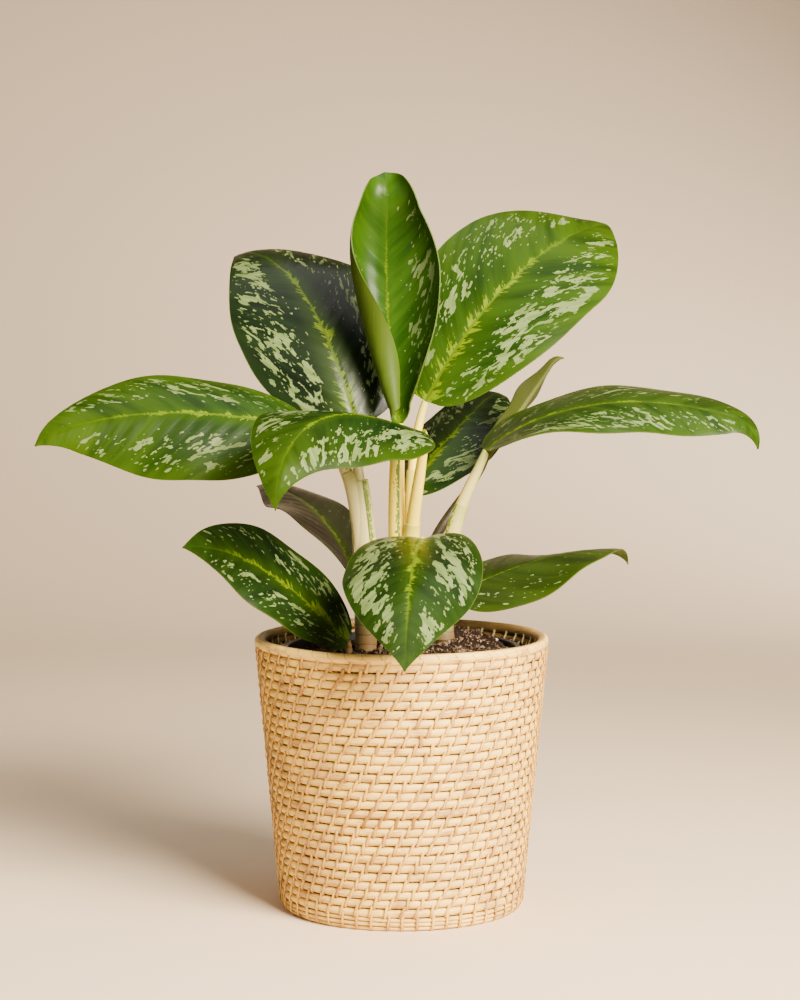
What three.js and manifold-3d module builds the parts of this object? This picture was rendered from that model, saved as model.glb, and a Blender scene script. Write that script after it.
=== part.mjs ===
// Potted onyx green aglaonema, in millimetres, +Z up.
// The origin is the middle of the basket's underside, and the plant faces -Y.
// A coiled rattan basket holds a black nursery pot of soil. Three shoots stand in plain
// holes in the soil, and twelve patterned leaves end their stalks.

import * as THREE from 'three';
import { mergeVertices } from 'three/addons/utils/BufferGeometryUtils.js';
import Module from 'manifold-3d';

const wasm = await Module();
wasm.setup();

// Driving dimensions

const GAP = 0.3;                  // clearance between pieces that touch

const BASKET = {
  height: 194,                    // to the top of the rim
  baseRadius: 86,                 // outside, at the foot
  topRadius: 104,                 // outside, at the top, without the relief
  wall: 6,
  floor: 7,
  footRound: 4,                   // how far the lowest row curves in
  rows: 14,                       // coils of the relief, larger than life
  stitches: 30,                   // stitches round one coil, larger than life
  coilRelief: 1.8,
  stitchRelief: 1.3,
  stitchLean: 0.32,               // stitch pitches that a chain moves along per coil
  rimHeight: 9,
};

const POT = {
  rimRadius: 85,
  rimTop: 186,
  rimLip: 2.4,
  rimDepth: 9,
  footRadius: 64,
  wall: 1.6,
  floor: 2.4,
  drainHoles: 6,
  drainRadius: 5,
  drainCircle: 46,
  sides: 40,
};

const SOIL = {
  edgeZ: 180,                     // height at the pot wall
  middleRise: 5,                  // how far it rises round the shoots
  heapAt: [42, 30],               // the heap behind the right shoot
  heapRise: 13,
  heapSpread: 32,
  lumps: 1.6,
  rings: 7,
  sides: 30,
};

const BLADE = {
  thickness: 0.8,
  keel: 1.6,                      // how far the midrib stands out below at the base
  baseHalfWidth: 1.5,
  tipHalfWidth: 0.5,
  rows: 12,
  columns: [0, 0.07, 0.3, 0.54, 0.78, 1],
  hookStart: 0.86,                // where along the blade the drip tip starts to turn
  narrow: 15,                     // half width below which a blade curls less
  foldReach: 0.15,                // share of the length in which a foot's extra fold fades
  lobeReach: 0.06,
  waveHeight: 1.6,
  waves: 2.5,
};

const STALK_SIDES = 9;
const STALK_STEPS = 8;
const STALK_SHORT = 0.8;           // from a stalk's end to the foot of its blade's midrib

// Colours

const skin = (colour, roughness) =>
  new THREE.MeshStandardMaterial({ color: colour, roughness, metalness: 0 });
const rattan = skin('#dcc199', 0.62);
const blackPlastic = skin('#17181a', 0.45);
const soilBrown = skin('#2c1f17', 0.95);
const stalkCream = skin('#d9cf9b', 0.5);
const leafGreen = skin('#4a6b26', 0.38);

// Solids and meshes

function toSolid(geometry) {
  const plain = geometry.clone();
  plain.deleteAttribute('normal');
  plain.deleteAttribute('uv');
  const merged = mergeVertices(plain, 1e-4);
  return new wasm.Manifold(new wasm.Mesh({
    numProp: 3,
    vertProperties: new Float32Array(merged.attributes.position.array),
    triVerts: new Uint32Array(merged.index.array),
  }));
}

function toGeometry(solid) {
  const mesh = solid.getMesh();
  const geometry = new THREE.BufferGeometry();
  geometry.setAttribute('position', new THREE.BufferAttribute(mesh.vertProperties, 3));
  geometry.setIndex(new THREE.BufferAttribute(mesh.triVerts, 1));
  geometry.computeVertexNormals();
  return geometry;
}

function fromLists(points, faces) {
  const geometry = new THREE.BufferGeometry();
  geometry.setAttribute('position', new THREE.Float32BufferAttribute(points.flat(), 3));
  geometry.setIndex(faces.flat());
  geometry.computeVertexNormals();
  return geometry;
}

// Joins rings of points, each as long as the first, into one closed skin. The rings run
// from the middle of one end round the outside to the middle of the other end.
function ringSkin(rings, firstPoint, lastPoint) {
  const count = rings[0].length;
  const points = [firstPoint, ...rings.flat(), lastPoint];
  const faces = [];
  const at = (ring, i) => 1 + ring * count + (i % count);
  for (let i = 0; i < count; i += 1) {
    faces.push([0, at(0, i + 1), at(0, i)]);
    faces.push([points.length - 1, at(rings.length - 1, i), at(rings.length - 1, i + 1)]);
  }
  for (let ring = 0; ring + 1 < rings.length; ring += 1) {
    for (let i = 0; i < count; i += 1) {
      faces.push([at(ring, i), at(ring, i + 1), at(ring + 1, i + 1)]);
      faces.push([at(ring, i), at(ring + 1, i + 1), at(ring + 1, i)]);
    }
  }
  return fromLists(points, faces);
}

function circleOfPoints(count, turn, place) {
  return Array.from({ length: count }, (_, i) => place(((i + turn) / count) * 2 * Math.PI, i));
}

// Basket

function basketRadius(z) {
  return THREE.MathUtils.lerp(BASKET.baseRadius, BASKET.topRadius, z / BASKET.height);
}

// One closed skin: out along the underside, up the stitched outside, over the rim, and
// down the plain inside to the floor.
function makeBasket() {
  const columns = BASKET.stitches * 2;
  const rings = [];
  const ringAt = (radius, z, turn = 0, stitch = 0) => rings.push(
    circleOfPoints(columns, turn, (angle, i) => {
      const r = radius + (i % 2 === 0 ? stitch : 0);
      return [r * Math.cos(angle), r * Math.sin(angle), z];
    }));
  ringAt(BASKET.baseRadius * 0.5, 0);
  ringAt(BASKET.baseRadius - BASKET.footRound, 0);
  const coilTop = BASKET.height - BASKET.rimHeight;
  const coil = (coilTop - BASKET.footRound / 2) / BASKET.rows;
  let turn = 0;
  for (let row = 0; row < BASKET.rows; row += 1) {
    const z = BASKET.footRound / 2 + coil * row;
    const tuck = row === 0 ? BASKET.footRound / 3 : 0;
    ringAt(basketRadius(z) - tuck, z, turn, BASKET.coilRelief * 0.8);
    turn += BASKET.stitchLean;
    const crest = basketRadius(z + coil / 2) + BASKET.coilRelief - tuck / 2;
    ringAt(crest, z + coil / 2, turn, BASKET.stitchRelief);
    turn += BASKET.stitchLean;
  }
  ringAt(basketRadius(coilTop), coilTop, turn, BASKET.coilRelief * 0.8);
  const rimRadius = BASKET.rimHeight / 2;
  const rimMiddle = basketRadius(BASKET.height) - BASKET.wall / 2;
  for (const tilt of [-20, 25, 70, 115, 160]) {
    const a = THREE.MathUtils.degToRad(tilt);
    turn += BASKET.stitchLean / 2;
    ringAt(rimMiddle + (rimRadius - 0.5) * Math.cos(a),
      BASKET.height - rimRadius + (rimRadius - 0.5) * Math.sin(a), turn, 0.5);
  }
  for (const z of [coilTop, coilTop * 0.66, coilTop * 0.33, BASKET.floor + BASKET.wall]) {
    ringAt(basketRadius(z) - BASKET.wall, z, turn);
  }
  ringAt(basketRadius(0) - BASKET.wall - 5, BASKET.floor, turn);
  return ringSkin(rings, [0, 0, 0], [0, 0, BASKET.floor]);
}

// Nursery pot

function potInnerRadius(z) {
  const foot = BASKET.floor + GAP;
  const t = (z - foot) / (POT.rimTop - foot);
  return THREE.MathUtils.lerp(POT.footRadius, POT.rimRadius - POT.rimLip, t) - POT.wall;
}

function makePot() {
  const foot = BASKET.floor + GAP;
  const outer = (z) => potInnerRadius(z) + POT.wall;
  const lipFoot = POT.rimTop - POT.rimDepth;
  const profile = [
    [0, foot],
    [POT.footRadius - 2, foot],
    [outer(foot + 2), foot + 2],
    [outer(lipFoot), lipFoot],
    [POT.rimRadius - 0.4, lipFoot],
    [POT.rimRadius, POT.rimTop - 1],
    [POT.rimRadius - 1, POT.rimTop],
    [potInnerRadius(POT.rimTop), POT.rimTop],
    [potInnerRadius(foot + POT.floor), foot + POT.floor],
    [0, foot + POT.floor],
  ].map(([r, z]) => new THREE.Vector2(r, z));
  const lathe = new THREE.LatheGeometry(profile, POT.sides).rotateX(Math.PI / 2);
  let pot = toSolid(lathe);
  for (let i = 0; i < POT.drainHoles; i += 1) {
    const angle = (i / POT.drainHoles) * 2 * Math.PI;
    const hole = new THREE.CylinderGeometry(POT.drainRadius, POT.drainRadius, 20, 12)
      .rotateX(Math.PI / 2)
      .translate(POT.drainCircle * Math.cos(angle), POT.drainCircle * Math.sin(angle), foot);
    pot = pot.subtract(toSolid(hole));
  }
  return toGeometry(pot);
}

// Shoots: each tube runs from its foot to its end along one bend, and a tube with a leaf
// name ends at the foot of that leaf's blade.

const LEAVES = {
  leaf_far_left: {
    base: [-63, -24, 341], heading: 183, swing: 12, pitch: [13, -22], ease: 1.4, roll: [-46, -58],
    fold: -10, curl: [-25, -25], length: 197, width: 99, widest: 0.46, taper: 1.0, hook: 20,
  },
  leaf_upper_left: {
    base: [-33, 10, 344], heading: 132, swing: -4, pitch: [67, -4], ease: 1.7, roll: [-35, -14],
    fold: -2, curl: [-20, -15], length: 203, width: 122, widest: 0.43, taper: 0.9, hook: 15,
  },
  leaf_young_upright: {
    base: [-2, -12, 344], heading: 103, swing: 1, pitch: [57, 110], ease: 1.2, roll: [-25,-14],
    fold: -10, curl: [95,75], curlLeft: [240,100], length: 192, width: 101, widest: 0.54,
    taper: 0.9, hook: 60, lobe: 0, footPower: 0.8, narrow: 60,
  },
  leaf_upper_right: {
    base: [17, 11, 360], heading: 14, swing: 43, pitch: [61, 3], ease: 1.3, roll: [57, 22],
    fold: 5, curl: [-5, -20], length: 229, width: 121, widest: 0.59, taper: 0.9, hook: 0,
  },
  leaf_front_left: {
    base: [15, -39, 341], heading: 215, swing: 30, pitch: [17, -90], ease: 2, roll: [-6, -31],
    fold: -10, curl: [-15, -15], length: 173, width: 110, widest: 0.39, taper: 1.15, hook: 10,
    lobe: 12,
  },
  leaf_far_right: {
    base: [60, 10, 325], heading: 11, swing: -24, pitch: [43, -24], ease: 0.7, roll: [5, 33],
    fold: -1, curl: [10, -25], length: 217, width: 94, widest: 0.42, taper: 1.0, hook: 65,
  },
  leaf_young_narrow: {
    base: [61, 50, 316], heading: 34, swing: 11, pitch: [47, 46], ease: 1.2, roll: [-55, -78],
    fold: 15, curl: [15, 15], length: 105, width: 26, widest: 0.42, taper: 1.1, hook: 25,
    lobe: 2,
  },
  leaf_rear_right: {
    base: [2, 46, 292], heading: 48, swing: 19, pitch: [40, 13], ease: 1.1, roll: [-3, 18],
    fold: -10, curl: [-25, 0], length: 163, width: 75, widest: 0.44, taper: 1.15, hook: 5,
  },
  leaf_rear_left: {
    base: [-32, 26, 229], heading: 117, swing: 16, pitch: [49, -2], ease: 1.1, roll: [37, -19],
    fold: 4, curl: [10, -25], length: 154, width: 75, widest: 0.44, taper: 1.0, hook: 5,
  },
  leaf_low_left: {
    base: [-38, -16, 192], heading: 196, swing: 37, pitch: [45, -2], ease: 1.8, roll: [-38, -66],
    fold: 5, curl: [5, -25], length: 160, width: 80, widest: 0.38, taper: 1.05, hook: 0,
  },
  leaf_low_front: {
    base: [15, -25, 265], heading: 263, swing: 5, pitch: [3, -48], ease: 0.9, roll: [4, -5],
    fold: 3, curl: [-10, -35], length: 181, width: 96, widest: 0.44, taper: 1.1, hook: -5,
    lobe: 16, footFold: 14,
  },
  leaf_low_right: {
    base: [37, 22, 221], heading: 17, swing: 11, pitch: [22, -11], ease: 1.7, roll: [36, -20],
    fold: -10, curl: [-10, 0], length: 152, width: 79, widest: 0.42, taper: 1.2, hook: 65,
  },
};

const SHOOTS = {
  shoot_left: [
    { foot: [-25, 0, 128], bends: [[-25, 0, 170], [-26, 0, 210]],
      end: [-25, 0, 240], radius: [7, 8.6] },
    { foot: [-25, 0, 225], bends: [[-25, 0, 250], [-27, -1, 275]],
      end: [-31, -2, 304], radius: [9, 6.6] },
    { foot: [-27, 0, 236], bends: [[-31, -2, 300], [-40, -9, 325]],
      leaf: 'leaf_far_left', radius: [6, 2.6] },
    { foot: [-25, 2, 236], bends: [[-27, 3, 285], [-33, 6, 318]],
      leaf: 'leaf_upper_left', radius: [6, 2.6] },
    { foot: [-25, 2, 182], bends: [[-25, 6, 208], [-28, 18, 216]],
      leaf: 'leaf_rear_left', radius: [5, 2.4] },
    { foot: [-25, -2, 150], bends: [[-30, -8, 160], [-37, -14, 172]],
      leaf: 'leaf_low_left', radius: [4, 2.6] },
  ],
  shoot_middle: [
    { foot: [2, 0, 128], bends: [[2, 0, 170], [2, 0, 210]], end: [2, 0, 240], radius: [8, 9] },
    { foot: [-1, -3, 215], bends: [[-4, -7, 270], [-4, -9, 310]],
      leaf: 'leaf_young_upright', radius: [6.4, 4] },
    { foot: [5, -4, 215], bends: [[4, -9, 280], [17, -32, 322]],
      leaf: 'leaf_front_left', radius: [6, 2.6] },
    { foot: [8, 2, 215], bends: [[6, 1, 275], [5, 5, 325]],
      leaf: 'leaf_upper_right', radius: [5.5, 2.6] },
    { foot: [2, 4, 215], bends: [[2, 14, 250], [-1, 34, 272]],
      leaf: 'leaf_rear_right', radius: [5, 2.4] },
    { foot: [4, -4, 200], bends: [[6, -9, 240], [12, -12, 262]],
      leaf: 'leaf_low_front', radius: [5, 2.4] },
  ],
  shoot_right: [
    { foot: [30, 8, 128], bends: [[30, 8, 150], [30, 8, 180]], end: [30, 8, 205], radius: [6, 7] },
    { foot: [30, 8, 190], bends: [[26, 8, 268], [47, 9, 292]],
      leaf: 'leaf_far_right', radius: [7, 2.8] },
    { foot: [24, 14, 192], bends: [[-3, 20, 256], [48, 38, 284]],
      leaf: 'leaf_young_narrow', radius: [5, 2.2] },
    { foot: [31, 10, 180], bends: [[31, 12, 200], [33, 18, 212]],
      leaf: 'leaf_low_right', radius: [5, 2.4] },
  ],
};

const deg = THREE.MathUtils.degToRad;
const mix = THREE.MathUtils.lerp;

// Direction of a blade's midrib at s, from 0 at the foot to 1 at the tip.
function bladeFrame(leaf, s) {
  const hookPart = THREE.MathUtils.clamp((s - BLADE.hookStart) / (1 - BLADE.hookStart), 0, 1);
  const pitch = deg(mix(leaf.pitch[0], leaf.pitch[1], s ** leaf.ease) - leaf.hook * hookPart);
  const heading = deg(leaf.heading + leaf.swing * s);
  const roll = deg(mix(leaf.roll[0], leaf.roll[1], s));
  const along = new THREE.Vector3(
    Math.cos(pitch) * Math.cos(heading), Math.cos(pitch) * Math.sin(heading), Math.sin(pitch));
  const level = new THREE.Vector3(-Math.sin(heading), Math.cos(heading), 0);
  const above = new THREE.Vector3().crossVectors(along, level);
  const left = level.clone().multiplyScalar(Math.cos(roll)).addScaledVector(above, Math.sin(roll));
  const up = above.clone().multiplyScalar(Math.cos(roll)).addScaledVector(level, -Math.sin(roll));
  return { along, left, up };
}

function bladeHalfWidth(leaf, s) {
  const m = leaf.widest;
  const shape = s < m
    ? (1 - ((m - s) / m) ** 2.2) ** (leaf.footPower ?? 0.5)
    : Math.cos((Math.PI / 2) * ((s - m) / (1 - m))) ** leaf.taper;
  const least = mix(BLADE.baseHalfWidth, BLADE.tipHalfWidth, s);
  return Math.max(least, (leaf.width / 2) * shape);
}

// Points of one cross line of a blade, from the left edge to the right edge.
function bladeRow(leaf, s, middle) {
  const { along, left, up } = bladeFrame(leaf, s);
  const half = bladeHalfWidth(leaf, s);
  const ease = (1 - s) ** 1.5;
  const pinch = Math.min(1, half / (leaf.narrow ?? BLADE.narrow));
  const fold = deg(leaf.fold + (leaf.footFold ?? 0) * Math.exp(-s / BLADE.foldReach));
  const sides = { 1: [], [-1]: [] };
  for (const side of [1, -1]) {
    const curls = side === 1 && leaf.curlLeft ? leaf.curlLeft : leaf.curl;
    const curl = deg(mix(curls[1], curls[0], ease)) * pinch;
    let out = 0;
    let rise = 0;
    let last = 0;
    for (const u of BLADE.columns.slice(1)) {
      const steps = 4;
      for (let k = 0; k < steps; k += 1) {
        const mid = last + ((u - last) * (k + 0.5)) / steps;
        const tilt = fold + curl * mid;
        out += (half * (u - last) * Math.cos(tilt)) / steps;
        rise += (half * (u - last) * Math.sin(tilt)) / steps;
      }
      last = u;
      const wave = BLADE.waveHeight * u * u * Math.sin(Math.PI * s)
        * Math.sin(2 * Math.PI * BLADE.waves * s + side);
      const lobe = -(leaf.lobe ?? 8) * u * Math.exp(-s / BLADE.lobeReach)
        * Math.min(1, (2 * half) / leaf.width);
      sides[side].push(middle.clone()
        .addScaledVector(left, side * out)
        .addScaledVector(up, rise + wave)
        .addScaledVector(along, lobe));
    }
  }
  return [...sides[1].reverse(), middle.clone(), ...sides[-1]];
}

function bladeRows(leaf) {
  const steps = 4;
  const middle = new THREE.Vector3(...leaf.base);
  const rows = [bladeRow(leaf, 0, middle)];
  const stride = leaf.length / BLADE.rows / steps;
  for (let row = 0; row < BLADE.rows; row += 1) {
    for (let k = 0; k < steps; k += 1) {
      const s = (row + (k + 0.5) / steps) / BLADE.rows;
      middle.addScaledVector(bladeFrame(leaf, s).along, stride);
    }
    rows.push(bladeRow(leaf, (row + 1) / BLADE.rows, middle));
  }
  return rows;
}

// A thin closed blade. Its underside repeats the upper side's triangles a thickness
// below, with the midrib standing out as a keel.
function makeBlade(leaf) {
  const top = bladeRows(leaf);
  const count = top[0].length;
  const centre = (count - 1) / 2;
  const bottom = top.map((row, i) => {
    const s = i / BLADE.rows;
    const { along, up } = bladeFrame(leaf, s);
    const wide = Math.min(1, bladeHalfWidth(leaf, s) / (leaf.narrow ?? BLADE.narrow));
    return row.map((point, j) => {
      const leftOf = row[Math.max(0, j - 1)];
      const rightOf = row[Math.min(count - 1, j + 1)];
      const normal = new THREE.Vector3().crossVectors(along, leftOf.clone().sub(rightOf));
      const down = up.clone().lerp(normal.normalize(), wide).normalize().negate();
      const keel = j === centre ? BLADE.keel * (1 - s) : 0;
      return point.clone().addScaledVector(down, BLADE.thickness + keel);
    });
  });
  const points = [...top.flat(), ...bottom.flat()].map((p) => p.toArray());
  const half = top.length * count;
  const faces = [];
  const at = (i, j) => i * count + j;
  for (let i = 0; i < BLADE.rows; i += 1) {
    for (let j = 0; j + 1 < count; j += 1) {
      const [a, b, c, d] = [at(i, j), at(i, j + 1), at(i + 1, j + 1), at(i + 1, j)];
      faces.push([a, b, c], [a, c, d]);
      faces.push([half + a, half + c, half + b], [half + a, half + d, half + c]);
    }
  }
  const edge = [];
  for (let j = 0; j + 1 < count; j += 1) edge.push([at(0, j), at(0, j + 1)]);
  for (let i = 0; i < BLADE.rows; i += 1) edge.push([at(i, count - 1), at(i + 1, count - 1)]);
  for (let j = count - 1; j > 0; j -= 1) edge.push([at(BLADE.rows, j), at(BLADE.rows, j - 1)]);
  for (let i = BLADE.rows; i > 0; i -= 1) edge.push([at(i, 0), at(i - 1, 0)]);
  for (const [a, b] of edge) faces.push([a, half + a, half + b], [a, half + b, b]);
  return fromLists(points, faces);
}

// A tube of changing radius along a cubic bend. A stalk is cut square to its blade, a gap
// short of the blade's foot. With spare above 0 it is the hole that the tube stands in.
function makeTube(tube, spare = 0) {
  const blade = tube.leaf && bladeFrame(LEAVES[tube.leaf], 0);
  const end = new THREE.Vector3(...(tube.leaf ? LEAVES[tube.leaf].base : tube.end));
  if (blade) {
    end.addScaledVector(blade.along, -STALK_SHORT).addScaledVector(blade.up, -BLADE.keel / 2);
  }
  const [foot, bendA, bendB] = [tube.foot, ...tube.bends].map((p) => new THREE.Vector3(...p));
  const curve = new THREE.CubicBezierCurve3(foot, bendA, bendB, end);
  const across = new THREE.Vector3(1, 0, 0);
  const rings = [];
  for (let k = 0; k <= STALK_STEPS; k += 1) {
    const t = k / STALK_STEPS;
    const centre = curve.getPoint(t);
    const along = blade && k === STALK_STEPS ? blade.along : curve.getTangent(t);
    across.projectOnPlane(along).normalize();
    const over = new THREE.Vector3().crossVectors(along, across);
    const radius = mix(tube.radius[0], tube.radius[1], t) + spare;
    if (spare > 0 && k === 0) centre.addScaledVector(along, -spare);
    rings.push(circleOfPoints(STALK_SIDES, 0, (angle) => centre.clone()
      .addScaledVector(across, radius * Math.cos(angle))
      .addScaledVector(over, radius * Math.sin(angle)).toArray()));
  }
  const first = foot.clone().addScaledVector(curve.getTangent(0), -spare);
  return toSolid(ringSkin(rings, first.toArray(), end.toArray()));
}

function makeShoot(tubes, spare = 0) {
  return wasm.Manifold.union(tubes.map((tube) => makeTube(tube, spare)));
}

// Soil

function soilHeight(x, y) {
  const r = Math.hypot(x, y);
  const heap = Math.hypot(x - SOIL.heapAt[0], y - SOIL.heapAt[1]) / SOIL.heapSpread;
  const edge = THREE.MathUtils.clamp((POT.rimRadius - r) / 14, 0, 1);
  const lump = SOIL.lumps * Math.sin(x * 0.31 + y * 0.17) * Math.sin(y * 0.29 - x * 0.12 + 1);
  return SOIL.edgeZ + edge * (SOIL.middleRise * Math.exp(-((r / 45) ** 2))
    + SOIL.heapRise * Math.exp(-(heap ** 2)) + lump);
}

function makeSoil() {
  const bottom = BASKET.floor + GAP + POT.floor + GAP;
  const flats = Math.cos(Math.PI / POT.sides);
  const wallRadius = (z) => (potInnerRadius(z) - GAP) * flats;
  const ring = (radius, height) => circleOfPoints(SOIL.sides, 0, (angle) => {
    const x = radius * Math.cos(angle);
    const y = radius * Math.sin(angle);
    return [x, y, height(x, y)];
  });
  const rings = [ring(wallRadius(bottom), () => bottom)];
  for (let k = SOIL.rings; k > 0; k -= 1) {
    rings.push(ring((wallRadius(SOIL.edgeZ) * k) / SOIL.rings, soilHeight));
  }
  let soil = toSolid(ringSkin(rings, [0, 0, bottom], [0, 0, soilHeight(0, 0)]));
  for (const tubes of Object.values(SHOOTS)) soil = soil.subtract(makeShoot(tubes, GAP + 0.1));
  return toGeometry(soil);
}

// The plant in its pot

const plant = new THREE.Group();

function addPiece(name, geometry, material) {
  const mesh = new THREE.Mesh(geometry, material);
  mesh.name = name;
  plant.add(mesh);
}

addPiece('basket', makeBasket(), rattan);
addPiece('nursery_pot', makePot(), blackPlastic);
addPiece('soil', makeSoil(), soilBrown);
for (const [name, tubes] of Object.entries(SHOOTS)) {
  addPiece(name, toGeometry(makeShoot(tubes)), stalkCream);
}
for (const [name, leaf] of Object.entries(LEAVES)) {
  addPiece(name, makeBlade(leaf), leafGreen);
}

export default plant;
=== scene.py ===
# %% [markdown]
# # A potted onyx green aglaonema
#
# A bushy aglaonema stands in a black nursery pot, and the pot stands in a coiled rattan
# basket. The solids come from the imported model. This lesson gives each of them the finish
# and the fine shape that the real thing has: patterned leaves, cream stalks, crumbly soil
# and a basket whose every stitch is there. Sizes are in metres, +Z is up, and the plant
# faces -Y.

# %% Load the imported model
import math
import bpy
import numpy as np
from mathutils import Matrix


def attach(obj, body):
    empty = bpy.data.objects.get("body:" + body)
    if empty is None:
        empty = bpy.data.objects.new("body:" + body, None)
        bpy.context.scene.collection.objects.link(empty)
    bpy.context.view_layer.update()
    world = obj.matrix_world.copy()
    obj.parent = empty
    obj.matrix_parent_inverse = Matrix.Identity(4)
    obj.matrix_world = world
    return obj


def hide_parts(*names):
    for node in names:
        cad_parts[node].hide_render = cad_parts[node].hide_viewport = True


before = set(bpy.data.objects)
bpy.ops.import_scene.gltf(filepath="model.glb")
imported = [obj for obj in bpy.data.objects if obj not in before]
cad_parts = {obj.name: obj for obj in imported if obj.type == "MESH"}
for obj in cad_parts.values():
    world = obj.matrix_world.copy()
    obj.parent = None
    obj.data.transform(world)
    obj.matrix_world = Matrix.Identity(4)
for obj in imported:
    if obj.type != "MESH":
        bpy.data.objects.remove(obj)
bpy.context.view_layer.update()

MM = 0.001

# %% [markdown]
# ## Camera and studio
#
# The photograph was taken from 1.8 m away, a little above the leaves' middle and looking
# slightly down, with a long lens. The studio is one pale sheet that runs up into the wall
# behind, so that no line shows between floor and wall. A large soft lamp stands at the
# right in front, a weak cool one fills the left, one hangs above, and a small one lights the
# lower wall. The room's own light is warm and even.

# %% Camera
CAMERA_PLACE = (-0.0011, -1.8, 0.4311)
CAMERA_TILT = 85.52    # degrees from straight down
FILM_HEIGHT = 36       # mm
FOCAL_LENGTH = 91.71   # mm

bpy.ops.object.select_all(action="DESELECT")
bpy.ops.object.camera_add(location=CAMERA_PLACE, rotation=(math.radians(CAMERA_TILT), 0, 0))
camera = bpy.context.object
camera.name = "camera"
camera.data.sensor_fit = "VERTICAL"
camera.data.sensor_height = FILM_HEIGHT
camera.data.lens = FOCAL_LENGTH
bpy.context.scene.camera = camera
print("camera at", tuple(round(c, 3) for c in camera.location))

# %% [markdown]
# A few helpers come first. Most things on this plant are sheets: a blade, a rolled stalk, a
# pot wall. So one helper adds a grid by operator and moves its points by a rule. The grid
# keeps its UV map, so a pattern can follow the sheet however it is bent.

# %% Helpers for sheets
def sheet(name, across, along, place):
    """Adds a grid of across by along squares and moves its points to place(u, v)."""
    bpy.ops.object.select_all(action="DESELECT")
    bpy.ops.mesh.primitive_grid_add(x_subdivisions=across, y_subdivisions=along, size=1)
    piece = bpy.context.object
    piece.name = piece.data.name = name
    piece.data.uv_layers[0].name = "share"
    flat = points_of(piece)
    set_points(piece, place(flat[:, 0] + 0.5, flat[:, 1] + 0.5))
    return piece


def points_of(piece):
    points = np.empty(len(piece.data.vertices) * 3)
    piece.data.vertices.foreach_get("co", points)
    return points.reshape(-1, 3)


def set_points(piece, points):
    piece.data.vertices.foreach_set("co", np.ascontiguousarray(points, float).ravel())
    piece.data.update()


def set_uv(piece, name, u, v):
    """Gives the piece a UV map from two values per point."""
    layer = piece.data.uv_layers.get(name) or piece.data.uv_layers.new(name=name)
    corner = np.empty(len(piece.data.loops), int)
    piece.data.loops.foreach_get("vertex_index", corner)
    layer.data.foreach_set("uv", np.stack([u[corner], v[corner]], 1).ravel())


# %% Helpers for operators
def only(piece):
    """Selects one piece alone and makes it active."""
    bpy.ops.object.select_all(action="DESELECT")
    piece.select_set(True)
    bpy.context.view_layer.objects.active = piece


def edit(piece, *steps):
    """Runs operators on all of a piece's mesh in edit mode."""
    only(piece)
    bpy.ops.object.mode_set(mode="EDIT")
    bpy.ops.mesh.select_all(action="SELECT")
    for step, settings in steps:
        step(**settings)
    bpy.ops.object.mode_set(mode="OBJECT")


def modify(piece, kind, **settings):
    """Adds a modifier and applies it."""
    only(piece)
    modifier = piece.modifiers.new(kind.lower(), kind)
    for key, value in settings.items():
        setattr(modifier, key, value)
    bpy.ops.object.modifier_apply(modifier=modifier.name)


def join(pieces, name):
    bpy.ops.object.select_all(action="DESELECT")
    for piece in pieces:
        piece.select_set(True)
    bpy.context.view_layer.objects.active = pieces[0]
    bpy.ops.object.join()
    pieces[0].name = pieces[0].data.name = name
    return pieces[0]


def smooth(piece, degrees=180):
    only(piece)
    bpy.ops.object.shade_smooth_by_angle(angle=math.radians(degrees))


def finish_piece(piece, node):
    """Puts a finished piece on the root body, in the place of its solid."""
    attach(piece, "root")
    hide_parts(node)
    triangles = sum(len(face.vertices) - 2 for face in piece.data.polygons)
    print(piece.name, triangles, "triangles")


# %% Backdrop
SWEEP_SIZE = (7, 6.6)  # across and along, before the wall is stretched
SWEEP_FRONT = -2.4     # y of the sheet's front edge
SWEEP_BEND = 1.35      # y where the floor starts to rise
SWEEP_WALL = 3.75      # run at which the bend has become a wall
SWEEP_RADIUS = 1.5
WALL_STRETCH = 8


def sweep_place(u, v):
    """The studio's sheet: a floor, a quarter circle and a wall."""
    run = v * SWEEP_SIZE[1] + SWEEP_FRONT
    share = np.clip((run - SWEEP_BEND) / (SWEEP_WALL - SWEEP_BEND), 0, 1)
    bend = share * math.pi / 2
    y = np.minimum(run, SWEEP_BEND) + SWEEP_RADIUS * np.sin(bend)
    z = SWEEP_RADIUS * (1 - np.cos(bend)) + np.clip(run - SWEEP_WALL, 0, None) * WALL_STRETCH
    return np.stack([(u - 0.5) * SWEEP_SIZE[0], y, z], 1)


backdrop = sheet("studio_sheet", 2, 140, sweep_place)
smooth(backdrop)
paper = bpy.data.materials.new("studio_paper")
paper.use_nodes = True
paper_inputs = paper.node_tree.nodes["Principled BSDF"].inputs
paper_inputs["Base Color"].default_value = (0.76, 0.6, 0.42, 1)
paper_inputs["Roughness"].default_value = 0.9
paper_inputs["Specular IOR Level"].default_value = 0.1
backdrop.data.materials.append(paper)

# %% Lamps
def lamp(name, place, aim, size, power, colour, spread=180):
    """A square soft lamp, turned so that it looks at its aim."""
    bpy.ops.object.select_all(action="DESELECT")
    bpy.ops.object.light_add(type="AREA", location=place)
    light = bpy.context.object
    light.name = name
    light.data.size = size
    light.data.energy = power
    light.data.color = colour
    light.data.spread = math.radians(spread)
    turn = np.array(aim) - np.array(place)
    light.rotation_euler = (math.atan2(math.hypot(turn[0], turn[1]), -turn[2]), 0,
                            math.atan2(-turn[0], turn[1]))


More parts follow.
